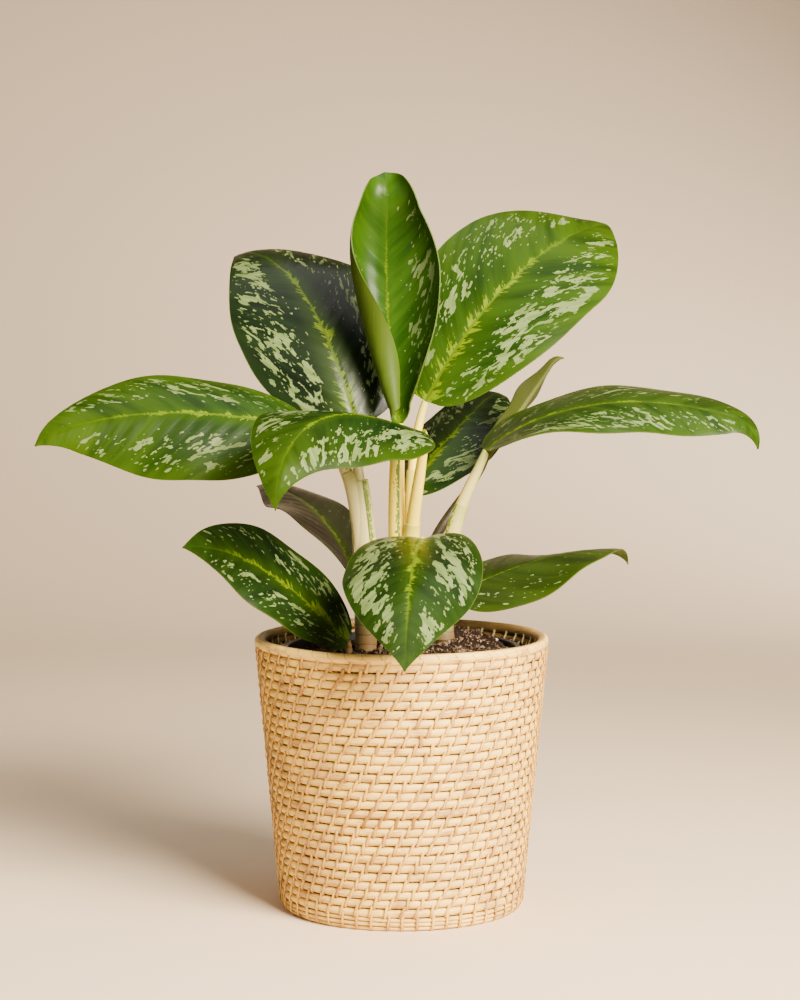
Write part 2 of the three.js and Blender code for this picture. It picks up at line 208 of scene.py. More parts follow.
# name, place, aim, size, power, colour, spread in degrees
lamp("key_lamp", (0.95, -1.3, 1.2), (0, 0, 0.1), 1.1, 62, (1, 0.89, 0.72), 84)
lamp("fill_lamp", (-1.8, -1.6, 1.2), (0, 0, 0.25), 1.6, 9, (0.88, 0.91, 1))
lamp("top_lamp", (0.1, 0.1, 2.0), (0, 0, 0.2), 1.4, 15, (1, 0.95, 0.88))
lamp("wall_lamp", (2.0, 0.5, 0.35), (0.15, 2.3, 0.22), 0.5, 18, (1, 0.93, 0.84), 52)
world = bpy.data.worlds.new("room_light")
bpy.context.scene.world = world
world.use_nodes = True
world_inputs = world.node_tree.nodes["Background"].inputs
world_inputs["Color"].default_value = (1, 0.94, 0.88, 1)
world_inputs["Strength"].default_value = 0.18
print("studio set")

# %% [markdown]
# ## Shader helpers
#
# A material is a tree of nodes, and most of the trees here are sums of noise. One helper
# adds a node to the group that is open, joins or sets its inputs in order, and hands back
# its first output, so a pattern reads like a formula.

# %% Shader helpers
tree = None            # the shader group that is open


def put(kind, *inputs, **settings):
    """Adds a shader node, fills its inputs in order and returns its first output."""
    node = tree.nodes.new("ShaderNode" + kind)
    node.location = (170 * len(tree.nodes), -120 * (len(tree.nodes) % 5))
    for key, value in settings.items():
        setattr(node, key, value)
    for socket, value in zip([s for s in node.inputs if s.enabled], inputs):
        if isinstance(value, bpy.types.NodeSocket):
            tree.links.new(value, socket)
        elif value is not None:
            socket.default_value = value
    return [s for s in node.outputs if s.enabled][0]


def maths(operation, *inputs):
    return put("Math", *inputs, operation=operation)


def plus(a, b):
    return maths("ADD", a, b)


def minus(a, b):
    return maths("SUBTRACT", a, b)


def times(a, b, added=None):
    """a times b, plus a third value where one is given."""
    return maths("MULTIPLY", a, b) if added is None else maths("MULTIPLY_ADD", a, b, added)


def size_of(value):
    return maths("ABSOLUTE", value)


def step(value, low, high):
    """0 below low, 1 above high, smooth between."""
    return put("MapRange", value, low, high, 0.0, 1.0, interpolation_type="SMOOTHSTEP")


def blend(factor, a, b):
    return put("Mix", factor, a, b, data_type="RGBA")


def noise(vector, scale, detail=2.0, roughness=0.5, warp=0.0):
    return put("TexNoise", vector, scale, detail, roughness, 2.0, warp)


def uv_map(name):
    """The two values of a UV map, as outputs X and Y."""
    return put("SeparateXYZ", put("UVMap", uv_map=name)).node.outputs


def object_place():
    return put("TexCoord").node.outputs["Object"]


def own_tone():
    return put("Attribute", attribute_name="tone").node.outputs["Fac"]


# %% Groups and materials
def new_group(name, *inputs):
    """Opens a shader group with named inputs, and returns it with their sockets."""
    global tree
    tree = bpy.data.node_groups.new(name, "ShaderNodeTree")
    for label, value in inputs:
        kind = "NodeSocketFloat" if isinstance(value, float) else "NodeSocketColor"
        tree.interface.new_socket(label, in_out="INPUT", socket_type=kind).default_value = value
    for label, kind in (("Colour", "Color"), ("Roughness", "Float"), ("Height", "Float")):
        tree.interface.new_socket(label, in_out="OUTPUT", socket_type="NodeSocket" + kind)
    return tree, tree.nodes.new("NodeGroupInput").outputs


def close_group(*values):
    """Joins colour, roughness and height to the open group's outputs."""
    out = tree.nodes.new("NodeGroupOutput")
    for socket, value in zip(out.inputs, values):
        tree.links.new(value, socket)
    print("shader group:", tree.name, len(tree.nodes), "nodes")


def new_material(name, group, values, **shader_values):
    """A Principled material that takes colour, roughness and height from a group."""
    material = bpy.data.materials.new(name)
    material.use_nodes = True
    nodes, links = material.node_tree.nodes, material.node_tree.links
    shader = nodes["Principled BSDF"]
    pattern = nodes.new("ShaderNodeGroup")
    pattern.node_tree = group
    pattern.location = (-500, 200)
    for key, value in values.items():
        pattern.inputs[key].default_value = value
    links.new(pattern.outputs["Colour"], shader.inputs["Base Color"])
    links.new(pattern.outputs["Roughness"], shader.inputs["Roughness"])
    bump = nodes.new("ShaderNodeBump")
    bump.location = (-250, -200)
    bump.inputs["Distance"].default_value = MM
    links.new(pattern.outputs["Height"], bump.inputs["Height"])
    links.new(bump.outputs["Normal"], shader.inputs["Normal"])
    for key, value in shader_values.items():
        shader.inputs[key.replace("_", " ")].default_value = value
    return material


# %% [markdown]
# ## Leaf pattern
#
# Each blade is dark green, with a feathered yellow-green midrib and mint splashes in a band
# between midrib and margin. The splashes follow the side veins, which leave the midrib at
# about fifty degrees and bend towards the tip. So the pattern isn't drawn in straight
# coordinates. Each blade carries two UV maps: "share" runs from edge to edge and from foot
# to tip, and "flat" holds real distances on the blade, in metres. From the second comes a
# value that stays the same along a side vein, and noise stretched along it makes splashes.

# %% Places on a leaf
VEIN_LEAN = 0.75       # metres towards the tip per metre out
VEIN_BEND = 10.0       # how much more per metre out
VEINS_PER_METRE = 88.0


def leaf_places():
    """The share map, the signed and the plain distance out, and the vein value."""
    share, flat = uv_map("share"), uv_map("flat")
    out = size_of(flat["X"])
    lean = times(times(out, out), VEIN_BEND, times(out, VEIN_LEAN))
    return share, flat["X"], out, minus(flat["Y"], lean)


def along_veins(across_scale, vein_scale, shift, detail, roughness=0.55, warp=0.0):
    """Noise whose blots are stretched along the side veins."""
    where = put("CombineXYZ", times(out, across_scale), times(vein, vein_scale),
                plus(seed, shift))
    return noise(where, 1.0, detail, roughness, warp)


def vein_ridge(cloud):
    """0 between two side veins and 1 on a vein, a little uneven."""
    ticks = maths("FRACT", times(cloud, 0.7, times(vein, VEINS_PER_METRE)))
    return size_of(times(ticks, 2.0, -1.0))


# %% Leaf pattern group: splashes
leaf_pattern, given = new_group(
    "leaf_pattern", ("Green", (0.03, 0.08, 0.002, 1)), ("Deep", (0.01, 0.04, 0.001, 1)),
    ("Mint", (0.13, 0.175, 0.065, 1)), ("Splash Left", 0.5), ("Splash Right", 0.5),
    ("Midrib", 0.5), ("Tip", 0.2), ("Seed", 0.0))
share, flat_x, out, vein = leaf_places()
side = maths("SIGN", flat_x)
seed = times(side, 3.7, given["Seed"])
edge = size_of(times(share["X"], 2.0, -1.0))

amount = put("Mix", step(side, -0.1, 0.1), given["Splash Right"], given["Splash Left"])
band = times(step(edge, 0.06, 0.4), step(edge, 1.0, 0.84))
band = times(band, step(share["Y"], 1.0, 0.82))
room = times(minus(band, 1.0), 0.3, times(minus(amount, 0.5), 0.28))
broad = along_veins(30.0, 25.0, 7.0, 1.0)
blots = along_veins(115.0, 85.0, 0.0, 1.0, 0.5, 0.8)
small = along_veins(300.0, 190.0, 3.0, 1.0, 0.5, 0.9)
blots = times(broad, 0.22, times(blots, 0.5, times(small, 0.22)))
splash = step(plus(blots, room), 0.524, 0.531)
flecks = times(room, 0.4, along_veins(360.0, 250.0, 5.0, 1.0))
splash = maths("MAXIMUM", splash, step(flecks, 0.665, 0.68))

# %% Leaf pattern group: midrib
LIME = (0.036, 0.072, 0.0005, 1)
LEAF_HALO = (0.036, 0.08, 0.0008, 1)
PALE_MINT = (0.085, 0.125, 0.035, 1)
RIB_GREEN, RIB_YELLOW = (0.04, 0.085, 0.0003, 1), (0.1, 0.155, 0.0003, 1)
RIB_LINE, MARGIN = (0.055, 0.095, 0.002, 1), (0.08, 0.11, 0.015, 1)

thin = minus(1.0, share["Y"])
reach = times(times(thin, given["Midrib"]), 0.017, 0.0006)
from_rib = maths("DIVIDE", out, reach)
near = minus(1.0, from_rib)
patchy = times(along_veins(30.0, 70.0, 17.0, 1.0), 2.6, -1.5)
feather = along_veins(150.0, 480.0, 13.0, 2.0, 0.6, 0.5)
rib = step(times(plus(near, patchy), 0.3, feather), 0.66, 0.74)
rib = times(rib, step(times(feather, 0.3, share["Y"]), 1.05, 0.6))
rib_line = minus(put("Mix", share["Y"], 0.001, 0.0003), out)
rib_line = times(step(rib_line, -0.0003, 0.0002), step(share["Y"], 1.1, 0.1))
rib_line = times(rib_line, step(given["Midrib"], 0.0, 0.3))
yellow = blend(step(near, 0.0, 0.7), RIB_GREEN, RIB_YELLOW)

# %% Leaf pattern group: greens and relief
cloud = along_veins(22.0, 60.0, 21.0, 2.0)
green = blend(step(cloud, 0.3, 0.7), given["Deep"], given["Green"])
green = blend(times(step(edge, 0.75, 1.0), 0.5), green, given["Green"])
furrow = times(step(vein_ridge(cloud), 0.6, 1.0), step(edge, 1.0, 0.7))
green = blend(times(furrow, 0.2), green, given["Green"])
light = maths("MAXIMUM", step(share["Y"], 0.3, 1.0), times(step(edge, 0.5, 1.0), 0.7))
light = times(times(light, given["Tip"]), step(cloud, 0.1, 0.65))
green = blend(light, green, LIME)
halo = times(times(step(from_rib, 2.4, 0.2), thin), 0.4)
green = blend(halo, green, LEAF_HALO)
mint = step(along_veins(60.0, 160.0, 31.0, 2.0), 0.35, 0.65)
mint = blend(mint, given["Mint"], PALE_MINT)
colour = blend(splash, green, mint)
colour = blend(times(rib, 0.94), colour, yellow)
colour = blend(rib_line, colour, RIB_LINE)
colour = blend(times(step(edge, 0.985, 1.0), 0.7), colour, MARGIN)
rough = times(cloud, 0.2, times(splash, 0.06, 0.26))
pores = times(along_veins(140.0, 300.0, 41.0, 2.0), 0.08)
close_group(colour, rough, times(furrow, -0.06, pores))

# %% [markdown]
# The underside is paler and plain, with the same veins standing out instead of sunk.

# %% Leaf underside group
leaf_back, given = new_group("leaf_underside", ("Pale", (0.055, 0.09, 0.008, 1)), ("Seed", 0.0))
share, flat_x, out, vein = leaf_places()
seed = given["Seed"]
cloud = along_veins(25.0, 90.0, 2.0, 3.0)
ridge = step(vein_ridge(cloud), 0.8, 1.0)
rib = minus(put("Mix", share["Y"], 0.003, 0.0006), out)
rib = times(step(rib, -0.0006, 0.0006), 0.8)
colour = blend(times(cloud, 0.6), given["Pale"], (0.034, 0.056, 0.004, 1))
colour = blend(rib, colour, (0.085, 0.1, 0.02, 1))
close_group(colour, times(cloud, 0.15, 0.4), times(ridge, 0.05))

# %% [markdown]
# ## Leaf blades
#
# A blade is a midrib that bends and turns through the air, with a cross line at each point
# of it that is flat, folded or curled. The solids were made from the same few values, so
# the sheets here lie on them: the heading and the pitch of the midrib, how it rolls, how
# wide and how long it is. Here the grid is much finer, and the skin between the side veins
# swells a little, as it does on the real leaf. No operator bends a sheet like that, so the
# points of a grid are moved by the rule. Solidify then gives the blade its thickness.

# %% Values of the blades
LEAVES = {
    "leaf_far_left": dict(
        base=(-63, -24, 341), heading=183, swing=12, pitch=(13, -22), ease=1.4, roll=(-46, -58),
        fold=-10, curl=(-25, -25), length=197, width=99, widest=0.46, taper=1.0, hook=20),
    "leaf_upper_left": dict(
        base=(-33, 10, 344), heading=132, swing=-4, pitch=(67, -4), ease=1.7, roll=(-35, -14),
        fold=-2, curl=(-20, -15), length=203, width=122, widest=0.43, taper=0.9, hook=15),
    "leaf_young_upright": dict(
        base=(-2, -12, 344), heading=103, swing=1, pitch=(57, 110), ease=1.2, roll=(-25, -14),
        fold=-10, curl=(95, 75), curl_left=(340, 85), length=190, width=101, widest=0.54,
        taper=0.75, hook=75, lobe=0, foot_power=0.8),
    "leaf_upper_right": dict(
        base=(17, 11, 360), heading=14, swing=43, pitch=(61, 3), ease=1.3, roll=(57, 22),
        fold=5, curl=(-5, -20), length=229, width=121, widest=0.59, taper=0.9, hook=0),
    "leaf_front_left": dict(
        base=(15, -39, 341), heading=215, swing=30, pitch=(17, -90), ease=2, roll=(-6, -31),
        fold=-10, curl=(-15, -15), length=181, width=110, widest=0.375, taper=1.2, hook=10,
        lobe=12),
    "leaf_far_right": dict(
        base=(60, 10, 325), heading=11, swing=-24, pitch=(43, -24), ease=0.7, roll=(5, 33),
        fold=-1, curl=(10, -25), length=217, width=94, widest=0.42, taper=1.0, hook=65),
    "leaf_young_narrow": dict(
        base=(61, 50, 316), heading=34, swing=11, pitch=(47, 46), ease=1.2, roll=(-55, -78),
        fold=15, curl=(15, 15), length=108, width=26, widest=0.42, taper=1.1, hook=55, lobe=2),
    "leaf_rear_right": dict(
        base=(2, 46, 292), heading=48, swing=19, pitch=(40, 13), ease=1.1, roll=(-3, 18),
        fold=-10, curl=(-25, 0), length=163, width=75, widest=0.44, taper=0.85, hook=40),
    "leaf_rear_left": dict(
        base=(-32, 26, 229), heading=117, swing=16, pitch=(49, -2), ease=1.1, roll=(37, -19),
        fold=4, curl=(10, -25), length=154, width=75, widest=0.44, taper=1.0, hook=5),
    "leaf_low_left": dict(
        base=(-38, -16, 192), heading=196, swing=37, pitch=(45, -2), ease=1.8, roll=(-38, -66),
        fold=5, curl=(5, -25), length=160, width=80, widest=0.38, taper=1.05, hook=0),
    "leaf_low_front": dict(
        base=(15, -25, 265), heading=263, swing=5, pitch=(3, -48), ease=0.9, roll=(4, -5),
        fold=3, curl=(-10, -35), length=181, width=96, widest=0.44, taper=1.1, hook=-5, lobe=16,
        foot_fold=14),
    "leaf_low_right": dict(
        base=(37, 22, 221), heading=17, swing=11, pitch=(22, -11), ease=1.7, roll=(36, -20),
        fold=-10, curl=(-10, 0), length=152, width=79, widest=0.42, taper=1.2, hook=65),
}
print("blades:", len(LEAVES))

# %% The blade's rule
RUN_STEPS = 4          # steps along the midrib for each row of the grid
CROSS_STEPS = 24       # steps in which a cross line is bent
PINCH = 15             # half width under which a line curls less; all lengths in mm
WAVE_HEIGHT, WAVES = 1.6, 2.5       # of the margin
SWELL, VEIN_GAP = 0.25, 12.5        # of the skin between side veins
SWELL_LEAN, SWELL_BEND = 0.6, 0.008
GROOVE, GROOVE_WIDTH = 0.5, 1.6     # along the midrib, above
KEEL = 1.6                          # along the midrib, below
BLADE_THICKNESS = 0.8


def mix(a, b, x):
    return a + (b - a) * x


def blade_frame(leaf, s):
    """The midrib's direction, the blade's left and its upper side at s, foot 0 to tip 1."""
    hook = leaf["hook"] * np.clip((s - 0.86) / 0.14, 0, 1)
    pitch = np.radians(mix(*leaf["pitch"], s ** leaf["ease"]) - hook)
    heading = np.radians(leaf["heading"] + leaf["swing"] * s)
    roll = np.radians(mix(*leaf["roll"], s))[:, None]
    x, y = np.cos(heading), np.sin(heading)
    along = np.stack([np.cos(pitch) * x, np.cos(pitch) * y, np.sin(pitch)], 1)
    level = np.stack([-y, x, 0 * s], 1)
    above = np.cross(along, level)
    left = level * np.cos(roll) + above * np.sin(roll)
    return along, left, above * np.cos(roll) - level * np.sin(roll)


def blade_half_width(leaf, s):
    """Half the width in mm at s, never narrower than the stalk."""
    m = leaf["widest"]
    low = np.clip(1 - ((m - np.minimum(s, m)) / m) ** 2.2, 0, None) ** leaf.get("foot_power", 0.5)
    high = np.cos(math.pi / 2 * np.clip((s - m) / (1 - m), 0, 1)) ** leaf["taper"]
    return np.maximum(mix(1.5, 0.5, s), leaf["width"] / 2 * np.where(s < m, low, high))


# %% Points of a blade
def cross_line(leaf, v, side, half, a):
    """How far out and how high a folded and curled cross line runs at its share a, in mm."""
    ease = (1 - v) ** 1.5
    curl = mix(leaf["curl"][1], leaf["curl"][0], ease)
    if "curl_left" in leaf:
        curl_left = np.minimum(mix(leaf["curl_left"][1], leaf["curl_left"][0], ease), 270)
        curl = np.where(side > 0, curl_left, curl)
    fold = leaf["fold"] + leaf.get("foot_fold", 0) * np.exp(-v / 0.15)
    out, rise = np.zeros_like(v), np.zeros_like(v)
    for k in range(CROSS_STEPS):
        tilt = fold + curl * np.minimum(1, half / PINCH) * a * (k + 0.5) / CROSS_STEPS
        out += half * a / CROSS_STEPS * np.cos(np.radians(tilt))
        rise += half * a / CROSS_STEPS * np.sin(np.radians(tilt))
    return out, rise


def blade_points(leaf, u, v, rows):
    """The blade's upper side in mm, and each point's flat place: out from the midrib, along."""
    fine = (np.arange(rows * RUN_STEPS) + 0.5) / (rows * RUN_STEPS)
    run = np.cumsum(blade_frame(leaf, fine)[0], 0) * leaf["length"] / len(fine)
    run = np.vstack([[0, 0, 0], run])[np.rint(v * rows * RUN_STEPS).astype(int)]
    along, left, up = blade_frame(leaf, v)
    half = blade_half_width(leaf, v)
    side = np.where(u < 0.5, 1, -1)
    a = np.abs(2 * u - 1)
    flat_out = half * a
    pinch = np.minimum(1, half / PINCH)
    out, rise = cross_line(leaf, v, side, half, a)
    wave = WAVE_HEIGHT * a * a * np.sin(math.pi * v) * np.sin(2 * math.pi * WAVES * v + side)
    lobe = -leaf.get("lobe", 8) * a * np.exp(-v / 0.06) * np.minimum(1, 2 * half / leaf["width"])
    flat_along = v * leaf["length"] + lobe
    vein = flat_along - SWELL_LEAN * flat_out - SWELL_BEND * flat_out ** 2
    swell = SWELL * np.sin(math.pi * vein / VEIN_GAP) ** 2
    swell = swell * np.minimum(1, flat_out / 12) * (1 - a ** 3)
    groove = -GROOVE * np.exp(-(flat_out / GROOVE_WIDTH) ** 2) * pinch
    points = (np.array(leaf["base"]) + run + left * (side * out)[:, None] + along * lobe[:, None]
              + up * (rise + wave + swell * pinch + groove)[:, None])
    return points, side * flat_out, flat_along


# %% Making a blade
def make_blade(name, leaf, top, underside, rows=96, columns=44):
    """A blade with a patterned upper side, a pale underside and a keel."""
    kept = {}

    def place(u, v):
        points, kept["out"], kept["along"] = blade_points(leaf, u, v, rows)
        kept["u"], kept["v"] = u, v
        return points * MM

    blade = sheet(name, columns, rows, place)
    set_uv(blade, "share", kept["u"], kept["v"])
    set_uv(blade, "flat", kept["out"] * MM, kept["along"] * MM)
    blade.data.materials.append(top)
    blade.data.materials.append(underside)
    count = len(blade.data.vertices)
    keel = np.exp(-(kept["out"] / GROOVE_WIDTH) ** 2) * (1 - kept["v"])
    up = blade_frame(leaf, kept["v"])[2]
    modify(blade, "SOLIDIFY", thickness=BLADE_THICKNESS * MM, offset=-1, material_offset=1,
           material_offset_rim=1, use_quality_normals=True)
    points = points_of(blade)
    points[count:2 * count] -= up * keel[:, None] * KEEL * MM
    set_points(blade, points)
    smooth(blade, 60)
    return blade


# %% [markdown]
# The leaves differ. The old ones are dark and heavily splashed, the young ones bright and
# nearly plain, and the one on edge shows its pale underside. Each blade gets its own
# values in the same pattern group.

# %% Blades and their materials
GREENS = {
    "fresh": ((0.0235, 0.067, 0.0018, 1), (0.0081, 0.0325, 0.0012, 1)),
    "mid": ((0.0135, 0.0375, 0.002, 1), (0.005, 0.018, 0.0012, 1)),
    "dark": ((0.007, 0.021, 0.0032, 1), (0.0028, 0.0093, 0.0019, 1)),
    "deep": ((0.004, 0.0112, 0.0024, 1), (0.002, 0.0056, 0.0015, 1)),
    "olive": ((0.0175, 0.0325, 0.003, 1), (0.0082, 0.017, 0.0017, 1)),
    # painted shade and sheen: this dull grey-brown green stands in for the shade and the warm
    # grazing sheen on the rear left leaf
    "shade": ((0.016, 0.0195, 0.0055, 1), (0.008, 0.0108, 0.0033, 1)),
}
LOOKS = {    # green, splash left, splash right, midrib, light tip, seed, gloss
    "leaf_far_left": ("mid", 0.5, 0.48, 0.3, 0.8, 1.3, 0.08),
    "leaf_upper_left": ("deep", 0.6, 0.55, 0.62, 0.1, 7.1, 0.18),
    "leaf_young_upright": ("fresh", 0.1, 0.42, 0.22, 0.2, 12.2, 0.14),
    "leaf_upper_right": ("mid", 0.52, 0.6, 0.75, 0.7, 3.4, 0.08),
    "leaf_front_left": ("dark", 0.6, 0.6, 0.3, 0.6, 22.6, 0.02),
    "leaf_far_right": ("mid", 0.4, 0.62, 0.25, 0.5, 31.8, 0.2),
    "leaf_young_narrow": ("olive", 0.0, 0.0, 0.1, 0.0, 5.0, 0.0),
    "leaf_rear_right": ("dark", 0.58, 0.58, 0.6, 0.1, 44.1, 0.1),
    # the rear left leaf takes the green with painted shade and sheen
    "leaf_rear_left": ("shade", 0.2, 0.2, 0.4, 0.0, 51.7, 0.35),
    "leaf_low_left": ("dark", 0.5, 0.5, 0.6, 0.2, 63.3, 0.06),
    "leaf_low_front": ("dark", 0.7, 0.7, 0.5, 0.3, 71.9, 0.1),
    "leaf_low_right": ("olive", 0.15, 0.25, 0.0, 0.3, 83.5, 0.12),
}
underside = new_material("leaf_underside", leaf_back, {"Seed": 1.0}, Specular_IOR_Level=0.1)
young_underside = new_material("young_underside", leaf_back, {
    "Pale": (0.036, 0.041, 0.009, 1), "Seed": 4.0}, Specular_IOR_Level=0.1)
for name, leaf in LEAVES.items():
    greens, splash_left, splash_right, midrib, tip, blade_seed, gloss = LOOKS[name]
    top = new_material(name + "_top", leaf_pattern, {
        "Green": GREENS[greens][0], "Deep": GREENS[greens][1], "Splash Left": splash_left,
        "Splash Right": splash_right, "Midrib": midrib, "Tip": tip, "Seed": blade_seed,
    }, Specular_IOR_Level=gloss * 0.6, Coat_Weight=gloss, Coat_Roughness=0.24)
    below = young_underside if name == "leaf_young_narrow" else underside
    finish_piece(make_blade(name + "_blade", leaf, top, below), name)

# %% [markdown]
# ## Stalks
#
# Every blade stands on a fleshy stalk, cream near the cane and greener near the blade. Low
# down, a stalk opens into a sheath that wraps the next one, and the sheath's thin edges are
# flecked with green. The solids are tubes along a bend, so the pieces here are the same
# tubes with more points, a channel down the upper side, and open sheaths round them. A tube
# is a grid that is rolled up: its two long edges meet and are merged, and its ends filled.

# %% Stalk skin group
stalk_skin, given = new_group(
    "stalk_skin", ("Cream", (0.62, 0.58, 0.3, 1)), ("Top", (0.5, 0.55, 0.2, 1)),
    ("Foot", (0.25, 0.14, 0.045, 1)), ("Foot Height", 0.21), ("Fleck", 0.0))
place = object_place()
level = put("SeparateXYZ", place).node.outputs["Z"]
share = uv_map("share")
long_noise = noise(put("Mapping", place, None, None, (260.0, 260.0, 22.0)), 1.0, 3.0)
soft_noise = noise(place, 70.0, 2.0)
low = step(times(soft_noise, 0.02, level), plus(given["Foot Height"], 0.025),
           plus(given["Foot Height"], -0.015))
colour = blend(step(share["Y"], 0.72, 1.0), given["Cream"], given["Top"])
streaks = times(step(long_noise, 0.42, 0.72), 0.35)
colour = blend(streaks, colour, given["Top"])
colour = blend(low, colour, given["Foot"])
margin = times(given["Fleck"], 0.5, 0.5)
edge = minus(1.0, size_of(minus(share["X"], margin)))
grains = noise(put("Mapping", place, None, None, (900.0, 900.0, 420.0)), 1.0, 2.0)
fleck = step(times(step(edge, 0.84, 0.97), 0.3, grains), 0.66, 0.72)
fleck = times(fleck, size_of(given["Fleck"]))
colour = blend(fleck, colour, (0.09, 0.15, 0.008, 1))
scars = maths("SINE", times(soft_noise, 5.0, times(level, 900.0)))
scars = times(step(scars, 0.8, 1.0), low)
colour = blend(times(scars, 0.5), colour, (0.1, 0.06, 0.03, 1))
height = times(long_noise, 0.12, times(scars, -0.3))
close_group(colour, times(soft_noise, 0.25, 0.36), height)

# %% Values of the shoots
SHOOTS = {    # foot, two bends, then an end or the leaf it carries, and both radii, in mm
    "shoot_left": [
        ((-25, 0, 128), (-25, 0, 170), (-26, 0, 210), (-25, 0, 240), (7, 8.6)),
        ((-25, 0, 225), (-25, 0, 250), (-27, -1, 275), (-31, -2, 304), (9, 6.6)),
        ((-27, 0, 236), (-31, -2, 300), (-40, -9, 325), "leaf_far_left", (6, 2.6)),
        ((-25, 2, 236), (-27, 3, 285), (-33, 6, 318), "leaf_upper_left", (6, 2.6)),
        ((-25, 2, 182), (-25, 6, 208), (-28, 18, 216), "leaf_rear_left", (5, 2.4)),
        ((-25, -2, 150), (-30, -8, 160), (-37, -14, 172), "leaf_low_left", (4, 2.6)),
    ],
    "shoot_middle": [
        ((2, 0, 128), (2, 0, 170), (2, 0, 210), (2, 0, 240), (8, 9)),
        ((-1, -3, 215), (-4, -7, 270), (-4, -9, 310), "leaf_young_upright", (6.4, 4)),
        ((5, -4, 215), (4, -9, 280), (17, -32, 322), "leaf_front_left", (6, 2.6)),
        ((8, 2, 215), (6, 1, 275), (5, 5, 325), "leaf_upper_right", (5.5, 2.6)),
        ((2, 4, 215), (2, 14, 250), (-1, 34, 272), "leaf_rear_right", (5, 2.4)),
        ((4, -4, 200), (6, -9, 240), (12, -12, 262), "leaf_low_front", (5, 2.4)),
    ],
    "shoot_right": [
        ((30, 8, 128), (30, 8, 150), (30, 8, 180), (30, 8, 205), (6, 7)),
        ((30, 8, 190), (26, 8, 268), (47, 9, 292), "leaf_far_right", (7, 2.8)),
        ((24, 14, 192), (-3, 20, 256), (48, 38, 284), "leaf_young_narrow", (5, 2.2)),
        ((31, 10, 180), (31, 12, 200), (33, 18, 212), "leaf_low_right", (5, 2.4)),
    ],
}
STALK_GAP = 0.8        # between a stalk's end and its blade, mm
CHANNEL = 0.12         # depth of a stalk's channel, as a share of its radius
CHANNEL_WIDTH = 28     # degrees
print("tubes:", {name: len(tubes) for name, tubes in SHOOTS.items()})

# %% Where a stalk runs
def bend_points(tube, v):
    """Centres and two cross directions along a cubic bend, in mm."""
    foot, low_bend, high_bend, end, _ = tube
    leaf = LEAVES.get(end)
    if leaf:
        along, _, up = blade_frame(leaf, np.zeros(1))
        end = np.array(leaf["base"], float) - along[0] * STALK_GAP - up[0] * STALK_GAP
    a, b, c, d = (np.array(p, float) for p in (foot, low_bend, high_bend, end))
    v = v[:, None]
    centre = a * (1 - v) ** 3 + 3 * b * v * (1 - v) ** 2 + 3 * c * v ** 2 * (1 - v) + d * v ** 3
    way = 3 * ((b - a) * (1 - v) ** 2 + 2 * (c - b) * v * (1 - v) + (d - c) * v ** 2)
    way /= np.linalg.norm(way, axis=1, keepdims=True)
    if leaf:
        turn = np.clip((v - 0.9) / 0.1, 0, 1) ** 2
        way = way * (1 - turn) + along[0] * turn
        way /= np.linalg.norm(way, axis=1, keepdims=True)
    across = np.zeros_like(way)
    last = np.array([1.0, 0, 0])
    for k in range(len(way)):
        last = last - way[k] * (last @ way[k])
        last /= np.linalg.norm(last)
        across[k] = last
    return centre, across, np.cross(way, across)


# %% Rolling a stalk
def weld(piece, distance=1e-6, close=False):
    """Merges points that meet, closes open ends if asked, and turns the faces outwards."""
    fill = [(bpy.ops.mesh.fill_holes, dict(sides=0))] if close else []
    edit(piece, (bpy.ops.mesh.remove_doubles, dict(threshold=distance)), *fill,
         (bpy.ops.mesh.normals_make_consistent, dict(inside=False)))


def roll(name, tube, sides=20, steps=44, turn=(0, 360), proud=0.0, reach=(0, 1), channel=0.0):
    """A grid rolled into a tube, or into an open sheath where turn is less than a circle."""
    rows = np.linspace(*reach, steps + 1)
    centre, across, over = bend_points(tube, rows)

    def place(u, v):
        k = np.rint(v * steps).astype(int)
        angle = np.radians(mix(*turn, u))
        from_top = (np.degrees(angle) % 360 - 90) / CHANNEL_WIDTH
        radius = mix(*tube[-1], rows[k]) + proud
        radius = radius * (1 - channel * np.exp(-from_top ** 2))
        spot = centre[k] + radius[:, None] * (
            across[k] * np.cos(angle)[:, None] + over[k] * np.sin(angle)[:, None])
        return spot * MM

    piece = sheet(name, sides, steps, place)
    if turn[1] - turn[0] == 360:
        weld(piece, close=True)
    else:
        modify(piece, "SOLIDIFY", thickness=0.5 * MM, offset=0)
    smooth(piece, 50)
    return piece


# %% Sheaths and shoots
SHEATHS = {    # tube it wraps, where along it, from and to which angle, how proud, flecked margin
    "shoot_left": [(1, (0.0, 1.0), (-60, 215), 0.5, -1), (2, (0.0, 0.55), (-130, 110), 0.5, 0)],
    "shoot_middle": [(1, (0.0, 0.85), (20, 290), 0.5, 1), (3, (0.0, 0.6), (-160, 60), 0.7, 0),
                     (2, (0.0, 0.35), (-200, 20), 0.5, 0)],
    "shoot_right": [(1, (0.0, 0.6), (-145, 110), 0.6, -1), (2, (0.0, 0.3), (-160, 60), 0.5, 0)],
}
SKINS = {
    "shoot_left": {"Cream": (0.52, 0.45, 0.17, 1), "Top": (0.36, 0.36, 0.1, 1)},
    "shoot_middle": {"Cream": (0.9, 0.67, 0.03, 1), "Top": (0.56, 0.5, 0.05, 1)},
    "shoot_right": {"Cream": (0.5, 0.43, 0.12, 1), "Top": (0.32, 0.34, 0.07, 1),
                    "Foot": (0.1, 0.06, 0.02, 1)},
}
# Painted shade: the young narrow leaf's stalk stands in shade behind the others, so its skin is
# painted dark olive-brown instead of cream.
shaded_stalk_skin = new_material("young_stalk_painted_shade", stalk_skin, {
    "Cream": (0.045, 0.036, 0.014, 1), "Top": (0.07, 0.06, 0.02, 1)})
